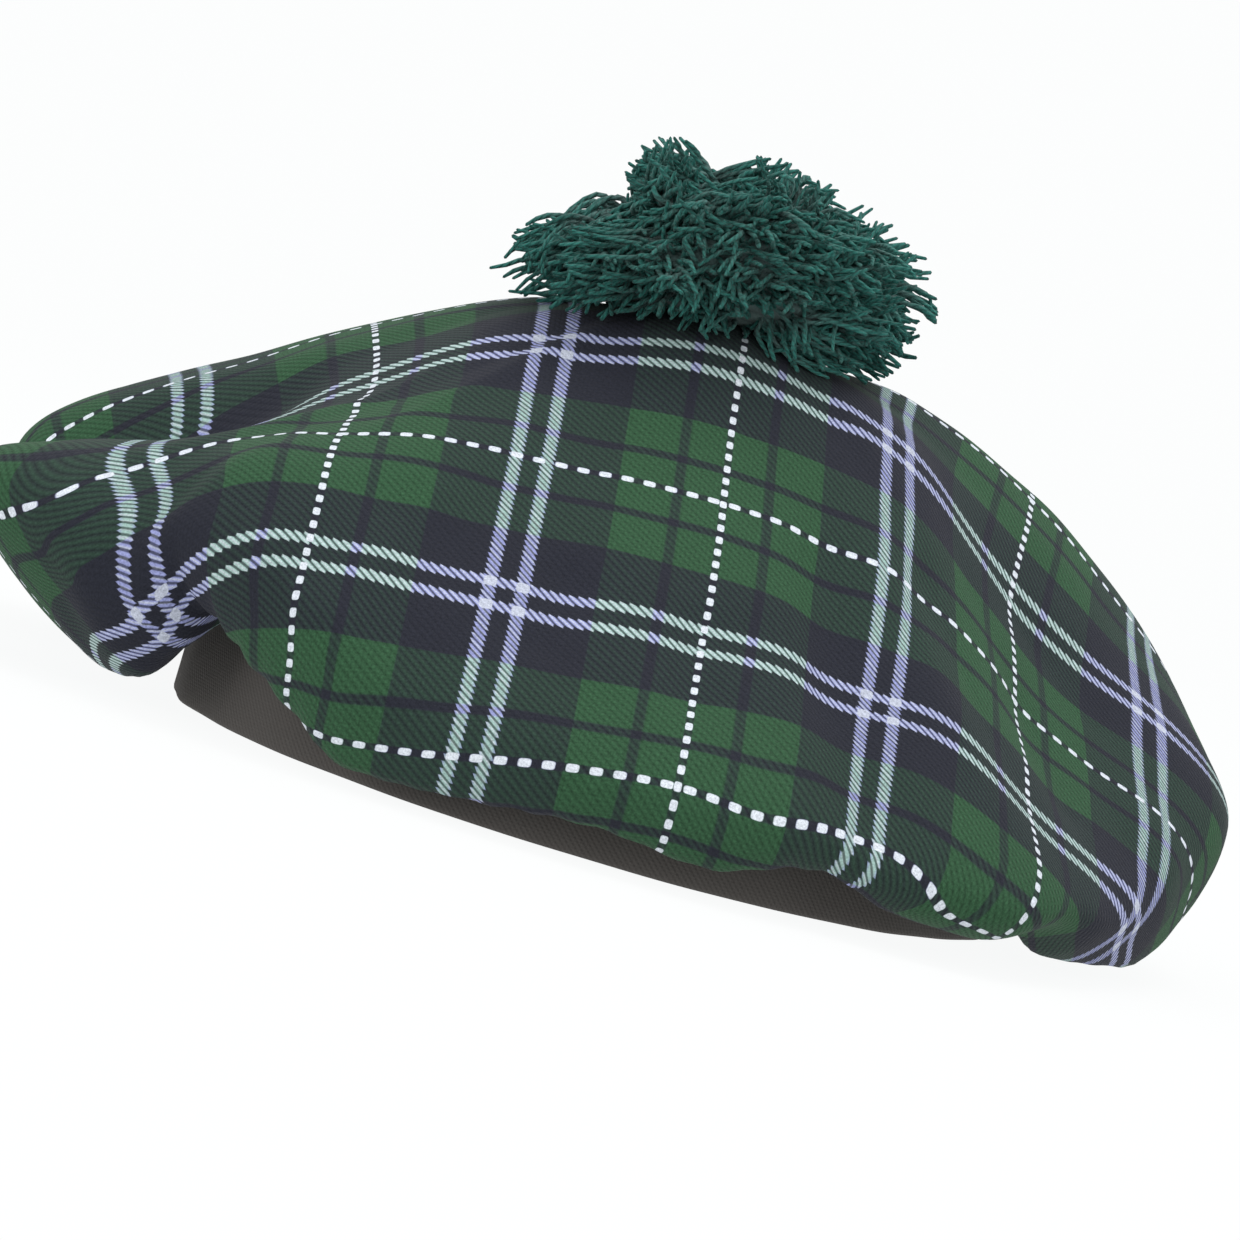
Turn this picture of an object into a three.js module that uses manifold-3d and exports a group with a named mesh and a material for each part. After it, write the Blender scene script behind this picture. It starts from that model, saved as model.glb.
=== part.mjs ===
// A tam o' shanter: one circle of tartan cloth gathered into an oval headband,
// with a yarn pompom on the middle of the crown. The hat stands on its headband
// and the crown slumps over it all round.
// Millimetres, +Z up. X runs across the hat, -Y is its front.
import * as THREE from 'three';
import { mergeVertices } from 'three/addons/utils/BufferGeometryUtils.js';
import Module from 'manifold-3d';

// Headband: an oval ring of doubled cloth, 555 mm round its outside.
const BAND_HALF_WIDTH = 82.5;
const BAND_HALF_DEPTH = 94;
const BAND_HEIGHT = 25;
const BAND_WALL = 2;
const BAND_CURVE_STEPS = 20;

// Crown: a cloth shell.
const CROWN_WALL = 1.5;
const CROWN_TOP = 98.5;
const CROWN_FLAT_RADIUS = 21;
const CROWN_FLAT_DROP = 4;
const CROWN_COLUMN_STEP = 5;
const SEAM_GAP = 0.3;
const SEAM_REACH = 3;

// Rings of the crown between one row of the profile and the next, from the
// middle of the top, over the edge, to the seam on the headband.
const RINGS = {
  button: 1, top: 2, slope: 4, side: 5, fold: 3, under: 3, seam: 2, lap: 1,
};

// The crown's profile at each azimuth, anticlockwise from +X. Each pair is the
// distance from the hat's middle and the height of one point of the cloth:
// top, shoulder, edge (farthest out), hem (lowest) and tuck (under the edge).
const SECTIONS = [
  { azimuth: 0, top: [41, 88], shoulder: [84, 59], edge: [122, 33], hem: [113, 10], tuck: [98, 19] },
  { azimuth: 8, top: [41, 90], shoulder: [85, 66], edge: [125, 33], hem: [114, 12], tuck: [99, 19] },
  { azimuth: 22, top: [42, 93], shoulder: [90, 75], edge: [125, 40], hem: [115, 11], tuck: [100, 20] },
  { azimuth: 45, top: [42, 93], shoulder: [86, 72], edge: [130, 34], hem: [120, 6], tuck: [104, 18] },
  { azimuth: 68, top: [42, 93], shoulder: [88, 68], edge: [132, 31], hem: [122, 6], tuck: [106, 18] },
  { azimuth: 90, top: [42, 92], shoulder: [90, 65], edge: [134, 28], hem: [124, 4], tuck: [108, 17] },
  { azimuth: 112, top: [42, 92], shoulder: [90, 65], edge: [134, 29], hem: [124, 6], tuck: [108, 18] },
  { azimuth: 135, top: [42, 92], shoulder: [90, 66], edge: [133, 33], hem: [124, 5], tuck: [106, 18] },
  { azimuth: 158, top: [42, 92], shoulder: [90, 67], edge: [131, 37], hem: [125, 9], tuck: [104, 19] },
  { azimuth: 173, top: [42, 90], shoulder: [86, 66], edge: [126, 36], hem: [118, 13], tuck: [101, 21] },
  { azimuth: 184, top: [42, 87], shoulder: [84, 58], edge: [120, 31], hem: [112, 14], tuck: [98, 21] },
  { azimuth: 198, top: [42, 87], shoulder: [90, 56], edge: [134, 32], hem: [102, 7], tuck: [96, 17] },
  { azimuth: 209, top: [42, 86], shoulder: [92, 57], edge: [125, 30], hem: [102, 4], tuck: [95, 16] },
  { azimuth: 214, top: [42, 85], shoulder: [88, 58], edge: [120, 27], hem: [103, 5], tuck: [95, 16] },
  { azimuth: 218, top: [42, 84], shoulder: [86, 59], edge: [115, 28], hem: [103, 11], tuck: [95, 18] },
  { azimuth: 222, top: [42, 84], shoulder: [84, 60], edge: [112, 34], hem: [102, 22], tuck: [96, 23] },
  { azimuth: 230, top: [42, 81], shoulder: [84, 58], edge: [110, 34], hem: [103, 17], tuck: [97, 21] },
  { azimuth: 239, top: [42, 79], shoulder: [83, 54], edge: [109, 28], hem: [103, 10], tuck: [98, 18] },
  { azimuth: 246, top: [42, 78], shoulder: [82, 49], edge: [108, 20], hem: [104, 4], tuck: [99, 13] },
  { azimuth: 256, top: [42, 77], shoulder: [81, 46], edge: [108, 15], hem: [105, 5], tuck: [100, 12] },
  { azimuth: 270, top: [42, 77], shoulder: [79, 46], edge: [109, 15], hem: [105, 8], tuck: [100, 14] },
  { azimuth: 283, top: [42, 77], shoulder: [79, 46], edge: [111, 15], hem: [106, 6], tuck: [100, 13] },
  { azimuth: 292, top: [42, 78], shoulder: [82, 45], edge: [111, 16], hem: [106, 10], tuck: [101, 15] },
  { azimuth: 299, top: [42, 79], shoulder: [84, 43], edge: [114, 13], hem: [107, 8], tuck: [100, 14] },
  { azimuth: 311, top: [42, 81], shoulder: [84, 47], edge: [122, 12], hem: [110, 6], tuck: [101, 13] },
  { azimuth: 322, top: [42, 84], shoulder: [84, 44], edge: [112, 15], hem: [104, 9], tuck: [99, 14] },
  { azimuth: 330, top: [42, 85], shoulder: [82, 45], edge: [115, 14], hem: [105, 4], tuck: [98, 12] },
  { azimuth: 338, top: [42, 86], shoulder: [80, 46], edge: [116, 16], hem: [109, 3], tuck: [98, 12] },
  { azimuth: 348, top: [41, 87], shoulder: [80, 50], edge: [117, 26], hem: [110, 4], tuck: [98, 14] },
];
const PROFILE_POINTS = ['top', 'shoulder', 'edge', 'hem', 'tuck'];

// Valleys pressed into the crown. Each runs outwards along the cloth between
// two azimuths, is full depth between two distances from the middle, and fades
// before the undercloth.
const FOLDS = [
  { inner: 187, outer: 183, starts: 40, full: 95, depth: 6.0, width: 7 },
  { inner: 222, outer: 219, starts: 95, full: 135, depth: 4.0, width: 7 },
  { inner: 299, outer: 296, starts: 45, full: 110, depth: 2.6, width: 6 },
  { inner: 340, outer: 338, starts: 55, full: 110, depth: 3.0, width: 9 },
  { inner: 60, outer: 56, starts: 60, full: 110, depth: 3.5, width: 8 },
  { inner: 124, outer: 120, starts: 60, full: 110, depth: 3.5, width: 8 },
];
const FOLD_TURN_LENGTH = 130;
const FOLD_FADE_END = 175;
const FOLD_FADE_LENGTH = 40;

// Pompom: a head with tapered locks of yarn all over it.
const POMPOM_MIDDLE_X = -7;
const POMPOM_MIDDLE_HEIGHT = 113;
const POMPOM_HEAD = { x: 30, y: 27, z: 16 };
const POMPOM_TIPS = { x: 41, y: 36, z: 20 };
const POMPOM_SEAT_GAP = 0.3;
const POMPOM_SEAT_WIDTH = 44;
const HEAD_SEGMENTS = 16;
const HEAD_RINGS = 10;
const LOCK_COUNT = 64;
const LOCK_SIDES = 5;
const LOCK_ROOT_SHARE = 0.4;
const LOCK_ROOT_RADIUS = 7;
const LOCK_TIP_RADIUS = 3.2;
const LOCK_LOWEST = -0.7;
const LOCK_RAGGED = 0.09;
const GOLDEN_TURN = Math.PI * (3 - Math.sqrt(5));
const MERGE_DISTANCE = 1e-4;

const wasm = await Module();
wasm.setup();

const material = (name, color, roughness) => new THREE.MeshStandardMaterial({
  name, color, roughness, metalness: 0,
});
const TARTAN = material('tartan', 0x3c6048, 0.85);
const BAND_CLOTH = material('band_cloth', 0x2c2a2b, 0.9);
const YARN = material('yarn', 0x1d4a41, 0.95);

const smooth = (t) => {
  const x = Math.min(Math.max(t, 0), 1);
  return x * x * (3 - 2 * x);
};

// Distance from the hat's middle to the middle of the headband's wall.
function bandRadius(angle) {
  const a = BAND_HALF_WIDTH - BAND_WALL / 2;
  const b = BAND_HALF_DEPTH - BAND_WALL / 2;
  return (a * b) / Math.hypot(b * Math.cos(angle), a * Math.sin(angle));
}

// Slope of a value at one section, limited so that the curve round the hat
// never swings past the sections that it joins.
function sectionSlope(index, read) {
  const count = SECTIONS.length;
  const at = (k) => SECTIONS[(k + count) % count];
  const step = (k) => (at(k + 1).azimuth - at(k).azimuth + 360) % 360;
  const before = step(index - 1);
  const after = step(index);
  const rise = (read(at(index)) - read(at(index - 1))) / before;
  const next = (read(at(index + 1)) - read(at(index))) / after;
  if (rise * next <= 0) return 0;
  const first = 2 * after + before;
  const second = after + 2 * before;
  return (first + second) / (first / rise + second / next);
}

// A value of the section table at any azimuth.
function sectionValue(azimuth, read) {
  const count = SECTIONS.length;
  let index = count - 1;
  while (index > 0 && SECTIONS[index].azimuth > azimuth) index -= 1;
  const next = (index + 1) % count;
  const span = (SECTIONS[next].azimuth - SECTIONS[index].azimuth + 360) % 360;
  const t = (azimuth - SECTIONS[index].azimuth) / span;
  const from = read(SECTIONS[index]);
  const to = read(SECTIONS[next]);
  const slopeFrom = sectionSlope(index, read) * span;
  const slopeTo = sectionSlope(next, read) * span;
  return (1 + 2 * t) * (1 - t) ** 2 * from + t * (1 - t) ** 2 * slopeFrom
    + t * t * (3 - 2 * t) * to + t * t * (t - 1) * slopeTo;
}

// The points that the cloth passes through at one azimuth, middle to seam.
function profilePoints(azimuth) {
  const seam = BAND_HEIGHT + SEAM_GAP + CROWN_WALL / 2;
  const band = bandRadius(THREE.MathUtils.degToRad(azimuth));
  const points = [
    new THREE.Vector2(0, CROWN_TOP),
    new THREE.Vector2(CROWN_FLAT_RADIUS, CROWN_TOP - CROWN_FLAT_DROP),
  ];
  for (const name of PROFILE_POINTS) {
    const radius = sectionValue(azimuth, (row) => row[name][0]);
    const height = sectionValue(azimuth, (row) => row[name][1]);
    points.push(new THREE.Vector2(radius, height));
  }
  points.push(new THREE.Vector2(band - BAND_WALL / 2 + SEAM_REACH, seam));
  points.push(new THREE.Vector2(band - BAND_WALL / 2, seam));
  return points;
}

// One point of the centripetal curve through four profile points.
function curvePoint(p0, p1, p2, p3, share) {
  const t1 = Math.sqrt(p0.distanceTo(p1));
  const t2 = t1 + Math.sqrt(p1.distanceTo(p2));
  const t3 = t2 + Math.sqrt(p2.distanceTo(p3));
  const t = t1 + (t2 - t1) * share;
  const mix = (a, b, ta, tb) => a.clone().multiplyScalar((tb - t) / (tb - ta))
    .addScaledVector(b, (t - ta) / (tb - ta));
  const a1 = mix(p0, p1, 0, t1);
  const a2 = mix(p1, p2, t1, t2);
  const a3 = mix(p2, p3, t2, t3);
  const b1 = mix(a1, a2, 0, t2);
  const b2 = mix(a2, a3, t1, t3);
  return mix(b1, b2, t1, t2);
}

// The cloth's middle line at one azimuth, with a point for each ring.
function profile(azimuth) {
  const points = profilePoints(azimuth);
  const mirrored = new THREE.Vector2(-points[1].x, points[1].y);
  const last = points[points.length - 1];
  const beyond = last.clone().multiplyScalar(2).sub(points[points.length - 2]);
  const chain = [mirrored, ...points, beyond];
  const line = [];
  Object.values(RINGS).forEach((steps, index) => {
    const around = chain.slice(index, index + 4);
    for (let k = 0; k < steps; k += 1) line.push(curvePoint(...around, k / steps));
  });
  line.push(last.clone());
  return line;
}

// Presses the folds into one profile, along its own outward direction.
function pressFolds(line, azimuth) {
  let along = 0;
  return line.map((point, ring) => {
    if (ring > 0) along += point.distanceTo(line[ring - 1]);
    const before = line[Math.max(ring - 1, 0)];
    const after = line[Math.min(ring + 1, line.length - 1)];
    const run = after.clone().sub(before).normalize();
    let press = 0;
    for (const fold of FOLDS) {
      const turn = Math.min(along / FOLD_TURN_LENGTH, 1);
      const centre = fold.inner + (fold.outer - fold.inner) * turn;
      const aside = ((azimuth - centre + 540) % 360) - 180;
      const distance = THREE.MathUtils.degToRad(aside) * point.x;
      const fade = Math.min(Math.max((FOLD_FADE_END - along) / FOLD_FADE_LENGTH, 0), 1);
      const reach = smooth((along - fold.starts) / (fold.full - fold.starts)) * fade;
      press += fold.depth * reach * Math.exp(-0.5 * (distance / fold.width) ** 2);
    }
    return new THREE.Vector2(point.x + run.y * press, point.y - run.x * press);
  });
}

// The azimuths of the crown's columns: every section, and even steps between.
function columnAzimuths() {
  return SECTIONS.flatMap((section, index) => {
    const next = SECTIONS[(index + 1) % SECTIONS.length];
    const span = (next.azimuth - section.azimuth + 360) % 360;
    const steps = Math.ceil(span / CROWN_COLUMN_STEP);
    return Array.from({ length: steps }, (_, k) => section.azimuth + (span * k) / steps);
  });
}

// The crown's middle surface: a column of points for each azimuth.
function crownColumns() {
  return columnAzimuths().map((azimuth) => {
    const angle = THREE.MathUtils.degToRad(azimuth);
    return pressFolds(profile(azimuth), azimuth).map(({ x, y }) => new THREE.Vector3(
      x * Math.cos(angle),
      x * Math.sin(angle),
      y,
    ));
  });
}

// The outward direction of the cloth at one point of the grid.
function clothNormal(columns, column, ring) {
  const count = columns.length;
  const here = columns[column];
  const along = here[Math.min(ring + 1, here.length - 1)].clone().sub(here[ring - 1]);
  const around = columns[(column + 1) % count][ring].clone()
    .sub(columns[(column - 1 + count) % count][ring]);
  return along.cross(around).normalize();
}

// A closed cloth shell: the outer wall, the inner wall and the cut edge.
function crownGeometry() {
  const columns = crownColumns();
  const count = columns.length;
  const rings = columns[0].length;
  const positions = [];
  const index = [];
  const half = CROWN_WALL / 2;
  for (const side of [half, -half]) {
    positions.push(0, 0, CROWN_TOP + side);
    columns.forEach((line, column) => {
      for (let ring = 1; ring < rings; ring += 1) {
        const normal = clothNormal(columns, column, ring);
        const point = line[ring].clone().addScaledVector(normal, side);
        positions.push(point.x, point.y, point.z);
      }
    });
  }
  const wallSize = 1 + count * (rings - 1);
  const vertex = (wall, column, ring) => (ring === 0
    ? wall * wallSize
    : wall * wallSize + 1 + (column % count) * (rings - 1) + ring - 1);
  const addQuad = (a, b, c, d) => index.push(a, b, c, a, c, d);
  for (let column = 0; column < count; column += 1) {
    const next = column + 1;
    index.push(vertex(0, column, 0), vertex(0, column, 1), vertex(0, next, 1));
    index.push(vertex(1, column, 0), vertex(1, next, 1), vertex(1, column, 1));
    for (let ring = 1; ring < rings - 1; ring += 1) {
      const far = ring + 1;
      addQuad(vertex(0, column, ring), vertex(0, column, far), vertex(0, next, far), vertex(0, next, ring));
      addQuad(vertex(1, column, ring), vertex(1, next, ring), vertex(1, next, far), vertex(1, column, far));
    }
    const edge = rings - 1;
    addQuad(vertex(0, column, edge), vertex(1, column, edge), vertex(1, next, edge), vertex(0, next, edge));
  }
  const geometry = new THREE.BufferGeometry();
  geometry.setAttribute('position', new THREE.Float32BufferAttribute(positions, 3));
  geometry.setIndex(index);
  return geometry;
}

// The headband: an oval ring standing on the ground.
function headbandGeometry() {
  const outline = new THREE.Shape();
  outline.absellipse(0, 0, BAND_HALF_WIDTH, BAND_HALF_DEPTH, 0, Math.PI * 2);
  const hollow = new THREE.Path();
  const innerWidth = BAND_HALF_WIDTH - BAND_WALL;
  const innerDepth = BAND_HALF_DEPTH - BAND_WALL;
  hollow.absellipse(0, 0, innerWidth, innerDepth, 0, Math.PI * 2);
  outline.holes.push(hollow);
  return new THREE.ExtrudeGeometry(outline, {
    depth: BAND_HEIGHT, bevelEnabled: false, curveSegments: BAND_CURVE_STEPS,
  });
}

// A closed mesh as a solid, with its shared corners merged.
function toSolid(geometry) {
  geometry.deleteAttribute('normal');
  geometry.deleteAttribute('uv');
  const merged = mergeVertices(geometry, MERGE_DISTANCE);
  return new wasm.Manifold(new wasm.Mesh({
    numProp: 3,
    vertProperties: merged.getAttribute('position').array,
    triVerts: Uint32Array.from(merged.getIndex().array),
  }));
}

function fromSolid(solid) {
  const mesh = solid.getMesh();
  const geometry = new THREE.BufferGeometry();
  geometry.setAttribute('position', new THREE.BufferAttribute(mesh.vertProperties, 3));
  geometry.setIndex(new THREE.BufferAttribute(mesh.triVerts, 1));
  return geometry;
}

// One lock of yarn, from inside the head to its blunt tip.
function lockGeometry(number) {
  const height = 1 - ((number + 0.5) / LOCK_COUNT) * (1 - LOCK_LOWEST);
  const side = Math.sqrt(1 - height * height);
  const turn = number * GOLDEN_TURN;
  const length = 1 + LOCK_RAGGED * Math.sin(number * 2.4);
  const tip = new THREE.Vector3(
    POMPOM_TIPS.x * side * Math.cos(turn),
    POMPOM_TIPS.y * side * Math.sin(turn),
    POMPOM_TIPS.z * height,
  ).multiplyScalar(length);
  const root = tip.clone().multiplyScalar(LOCK_ROOT_SHARE);
  const span = tip.distanceTo(root);
  const lock = new THREE.CylinderGeometry(LOCK_TIP_RADIUS, LOCK_ROOT_RADIUS, span, LOCK_SIDES);
  const direction = tip.clone().sub(root).normalize();
  const turnTo = new THREE.Quaternion().setFromUnitVectors(new THREE.Vector3(0, 1, 0), direction);
  lock.applyQuaternion(turnTo);
  const middle = root.add(tip).multiplyScalar(0.5);
  return lock.translate(middle.x, middle.y, middle.z);
}

// The pompom: locks fused to a head, cut flat where it sits on the crown.
function pompomGeometry() {
  const head = new THREE.SphereGeometry(1, HEAD_SEGMENTS, HEAD_RINGS);
  head.scale(POMPOM_HEAD.x, POMPOM_HEAD.z, POMPOM_HEAD.y).rotateX(Math.PI / 2);
  const locks = Array.from({ length: LOCK_COUNT }, (_, number) => lockGeometry(number));
  const solids = [head, ...locks].map(toSolid);
  const fused = solids.reduce((whole, solid) => whole.add(solid));
  const seat = CROWN_TOP + CROWN_WALL / 2 + POMPOM_SEAT_GAP - POMPOM_MIDDLE_HEIGHT;
  const block = new THREE.BoxGeometry(POMPOM_SEAT_WIDTH, POMPOM_SEAT_WIDTH, POMPOM_SEAT_WIDTH);
  block.translate(-POMPOM_MIDDLE_X, 0, seat - POMPOM_SEAT_WIDTH / 2);
  const geometry = fromSolid(fused.subtract(toSolid(block)));
  return geometry.translate(POMPOM_MIDDLE_X, 0, POMPOM_MIDDLE_HEIGHT);
}

function part(name, geometry, look) {
  const mesh = new THREE.Mesh(geometry, look);
  mesh.name = name;
  return mesh;
}

const group = new THREE.Group();
group.name = 'tam_o_shanter';
group.add(part('crown', crownGeometry(), TARTAN));
group.add(part('headband', headbandGeometry(), BAND_CLOTH));
group.add(part('pompom', pompomGeometry(), YARN));

// The origin is under the middle of the whole hat, on the ground.
const middle = new THREE.Box3().setFromObject(group).getCenter(new THREE.Vector3());
group.position.set(-middle.x, -middle.y, 0);

export default group;
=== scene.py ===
"""A tartan tam o' shanter with a black headband and a green yarn pompom.

The file is laid out as a Blender add-on and is run as a script. It loads the
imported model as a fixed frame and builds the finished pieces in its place: the
crown's cloth with its woven tartan, the headband and the yarn pompom, and then
the floor, the lights and the camera.
"""
import math

import bmesh
import bpy
import numpy as np
from mathutils import Matrix, Vector


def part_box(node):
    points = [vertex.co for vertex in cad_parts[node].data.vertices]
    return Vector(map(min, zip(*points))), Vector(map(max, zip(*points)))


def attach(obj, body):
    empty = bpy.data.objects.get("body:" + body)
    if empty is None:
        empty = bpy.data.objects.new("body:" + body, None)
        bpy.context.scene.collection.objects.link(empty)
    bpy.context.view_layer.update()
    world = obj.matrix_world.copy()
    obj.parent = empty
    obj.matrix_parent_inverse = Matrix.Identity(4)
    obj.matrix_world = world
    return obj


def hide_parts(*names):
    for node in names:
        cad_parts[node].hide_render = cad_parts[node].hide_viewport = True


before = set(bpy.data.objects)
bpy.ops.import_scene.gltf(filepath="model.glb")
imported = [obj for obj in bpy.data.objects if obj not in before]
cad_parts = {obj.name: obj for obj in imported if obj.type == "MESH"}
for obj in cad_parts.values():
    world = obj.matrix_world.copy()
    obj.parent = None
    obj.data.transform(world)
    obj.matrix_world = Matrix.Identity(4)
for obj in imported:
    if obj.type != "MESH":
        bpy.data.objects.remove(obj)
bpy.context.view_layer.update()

BAND_LOW, BAND_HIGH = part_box("headband")

bl_info = {
    "name": "Tam o' shanter",
    "version": (1, 0, 0),
    "blender": (4, 5, 0),
    "location": "3D View > Sidebar > Tam",
    "description": "Builds a tartan tam o' shanter round its packed model",
    "category": "Object",
}

# The scene is in metres. The hat's own tables are in millimetres, measured from
# the middle of the headband, because that is how the hat is drawn.
MM = 0.001
RIM_MIDDLE = (BAND_LOW + BAND_HIGH) / 2
RIM_MIDDLE.z = 0.0

# Headband
BAND_HALF_WIDTH = 82.5
BAND_HALF_DEPTH = 94.0
BAND_HEIGHT = 25.0
BAND_WALL = 2.0
BAND_COLUMNS = 360

# Crown: the cloth's profile at each azimuth, anticlockwise from +X. Each pair
# is the distance from the hat's middle and the height.
CROWN_TOP = 98.5
CROWN_FLAT_RADIUS = 21.0
CROWN_FLAT_DROP = 4.0
CROWN_WALL = 1.5
SEAM_HEIGHT = BAND_HEIGHT + 0.3 + CROWN_WALL / 2
SEAM_REACH = 3.0
# azimuth, top, shoulder, edge, hem, tuck
SECTIONS = (
    (0, (41, 88), (84, 59), (120, 33), (113, 10), (98, 19)),
    (8, (41, 90), (85, 66), (122, 33), (114, 12), (99, 19)),
    (22, (42, 93), (87, 74), (122, 40), (115, 11), (100, 20)),
    (45, (42, 93), (86, 72), (130, 34), (120, 6), (104, 18)),
    (68, (42, 93), (88, 68), (132, 31), (122, 6), (106, 18)),
    (90, (42, 92), (90, 65), (134, 28), (124, 4), (108, 17)),
    (112, (42, 92), (90, 65), (134, 29), (124, 6), (108, 18)),
    (135, (42, 91), (90, 65), (133, 33), (124, 5), (106, 18)),
    (158, (42, 90.5), (91, 65.5), (131, 37), (125, 9), (104, 19)),
    (173, (42, 89), (86, 64), (126, 36), (118, 13), (101, 21)),
    (184, (42, 87), (84, 58), (120, 31), (112, 14), (98, 21)),
    (198, (42, 87), (90, 56), (134, 32), (102, 7), (96, 17)),
    (209, (42, 86), (92, 57), (125, 30), (102, 4), (95, 16)),
    (214, (42, 85), (88, 58), (120, 27), (103, 5), (95, 16)),
    (218, (42, 84), (86, 59), (115, 28), (103, 11), (95, 18)),
    (222, (42, 84), (84, 60), (112, 34), (102, 22), (96, 23)),
    (230, (42, 81), (84, 58), (110, 34), (103, 17), (97, 21)),
    (239, (42, 79), (83, 54), (109, 28), (103, 10), (98, 18)),
    (246, (42, 78), (82, 49), (108, 20), (104, 4), (99, 13)),
    (256, (42, 77), (81, 46), (108, 15), (105, 5), (100, 12)),
    (270, (42, 77), (79, 46), (109, 15), (105, 8), (100, 14)),
    (283, (42, 77), (79, 46), (111, 15), (106, 6), (100, 13)),
    (292, (42, 78), (82, 45), (111, 16), (106, 10), (101, 15)),
    (299, (42, 79), (84, 43), (114, 13), (107, 8), (100, 14)),
    (311, (42, 81), (84, 47), (120, 12), (110, 6), (101, 13)),
    (320, (42, 84), (84, 44), (117, 14), (104, 9), (99, 14)),
    (328, (42, 85), (82, 45), (115, 13), (104, 4), (98, 12)),
    (336, (42, 86), (80, 46), (114, 16), (107, 4), (98, 12)),
    (348, (41, 87), (80, 50), (114, 26), (110, 4), (98, 14)),
)
# Valleys that run outwards along the cloth: azimuth at the middle and at the
# edge, distance where each starts and is full, depth and width.
FOLDS = (
    (187, 183, 74, 112, 6.0, 7),
    (299, 296, 45, 110, 2.6, 6),
    (60, 56, 60, 110, 3.5, 8),
    (124, 120, 60, 110, 3.5, 8),
)
FOLD_TURN_LENGTH = 130.0
FOLD_FADE_END = 175.0
FOLD_FADE_LENGTH = 40.0

# Where the fullness of the flat circle is taken up in gathers: azimuth, spread
# in degrees and share.
GATHERS = (
    (184, 16, 1.3), (218, 9, 0.9), (112, 20, 1.2), (68, 18, 1.2), (150, 14, 1.0),
    (30, 14, 0.9), (299, 6, 0.35), (345, 12, 0.5), (0, 12, 0.6),
)
CLOTH_FRONT_AZIMUTH = 272
CLOTH_TURN = 5.0

# Small creases in the cloth's own flat coordinates: from, to, depth and width.
CREASES = (
    ((22, -60), (30, -112), 1.0, 5.0),
    ((47, -48), (40, -104), 1.3, 4.5),
    ((-20, -88), (-26, -118), 1.2, 5.0),
    ((2, -92), (4, -124), 1.0, 4.5),
    ((-52, -78), (-70, -112), 1.3, 6.0),
    ((70, -60), (92, -92), 1.2, 6.0),
)
# Places where the cloth stands proud: azimuth, distance along the cloth, height
# and spread.
SWELLS = (
    (221, 112, 3.5, 9),
    (206, 80, -5.5, 20),
    (196, 116, -4.0, 18),
)
# Places where the weave is pulled a little along the cloth, in flat
# coordinates: middle, shift and spread.
PULLS = (
    ((-20, -85), (0.0, 2.9), 62),
    ((40, -28), (4.5, 1.0), 26),
    ((105, -10), (7.0, 6.0), 34),
    ((45, -128), (0.0, -7.0), 22),
    ((112, -95), (1.0, -3.5), 24),
    ((77, -102), (2.0, 5.0), 13),
    ((-110, -106), (2.0, 5.0), 13),
    ((-107, -62), (2.5, 0.0), 16),
    ((-124, -76), (0.0, 11.0), 13),
    ((-86, -60), (0.0, -4.9), 9),
    ((-145, -82), (15.0, 0.0), 20),
    ((-104, -86), (-6.5, 0.0), 14),
    ((-88, 7), (0.0, -16.0), 28),
    ((-110, -14), (7.0, 0.0), 12),
    ((22, -140), (0.0, 3.5), 10),
    ((62, -137), (0.0, 5.0), 11),
)
RIPPLE_COUNT = 26
RIPPLE_SEED = 11
PLEAT_COUNT = 84
PLEAT_HEIGHT = 0.55

# Pompom: its middle, the half sizes of its head and the reach of its yarn.
POMPOM_MIDDLE = (-6.0, 0.0, 109.0)
POMPOM_HEAD = (28.0, 25.0, 12.0)
POMPOM_REACH = (42.0, 37.0, 20.0)
# Where the yarn reaches farther or less far, seen from the front: turn up from +X,
# share and spread in degrees.
POMPOM_LUMPS = (
    (155, -0.52, 22),
    (112, 0.13, 6),
    (96, -0.22, 5),
    (81, 0.08, 7),
    (45, 0.08, 12),
    (222, 0.15, 12),
)
YARN_SEED = 7
YARN_POINTS = 8
YARN_SIDES = 5
YARN_TWIST_LENGTH = 3.8

# The sett: distances from the middle of a dashed line, millimetres.
HALF_SETT = 36.5
SETT_DOWN_START = 4.0
SETT_ACROSS_START = 9.0
THIN_DARK_BAND = (7.9, 9.9)
WIDE_DARK_BAND = (19.9, 20.3)
WHITE_STRIPE = (32.5, 34.65)
DARK_BESIDE_DASHES = (0.55, 0.95)
# How much of each dark yarn shows: the yarn that runs round the hat shows more.
DARK_ACROSS = 0.65
DARK_DOWN = 0.82
# Twill lines: distance from line to line, both ways along the cloth.
CROWN_TWILL = (1.82, 1.75)
STRIPE_TWILL = 1.35
BAND_TWILL = 1.2
# Dashes down and across the cloth: distance from dash to dash and half width.
DASHES_DOWN = (3.3, 0.68)
DASHES_ACROSS = (4.15, 0.72)
DASH_SHARE = 0.55

# The camera, measured from the middle of the headband.
CAMERA_DISTANCE = 1100.0
CAMERA_ELEVATION = 5.3
CAMERA_ROLL = 16.8
CAMERA_TARGET = (-3.2, 0.0, 37.0)
CAMERA_LENS = 164.8
CAMERA_SENSOR = 36.0

# Area lights: name, place in metres, size and share of the key light's power.
LIGHTS = (
    ("key", (0.25, 0.05, 1.35), 0.7, 1.0),
    ("fill", (0.9, -1.2, 0.7), 0.9, 0.45),
    ("left fill", (-1.1, -1.0, 0.35), 0.9, 0.9),
)
LIGHT_TARGET = Vector((0.0, 0.0, 0.06))
# The floor in metres: the radius of its flat part and of the bend beyond it.
FLOOR_RADIUS = 1.6
FLOOR_BEND = 1.4
FLOOR_SIDES = 96
FLOOR_GLOW = (0.97, 0.98, 0.98)
FLOOR_GLOW_STRENGTH = 0.95


# Small helpers

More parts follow.
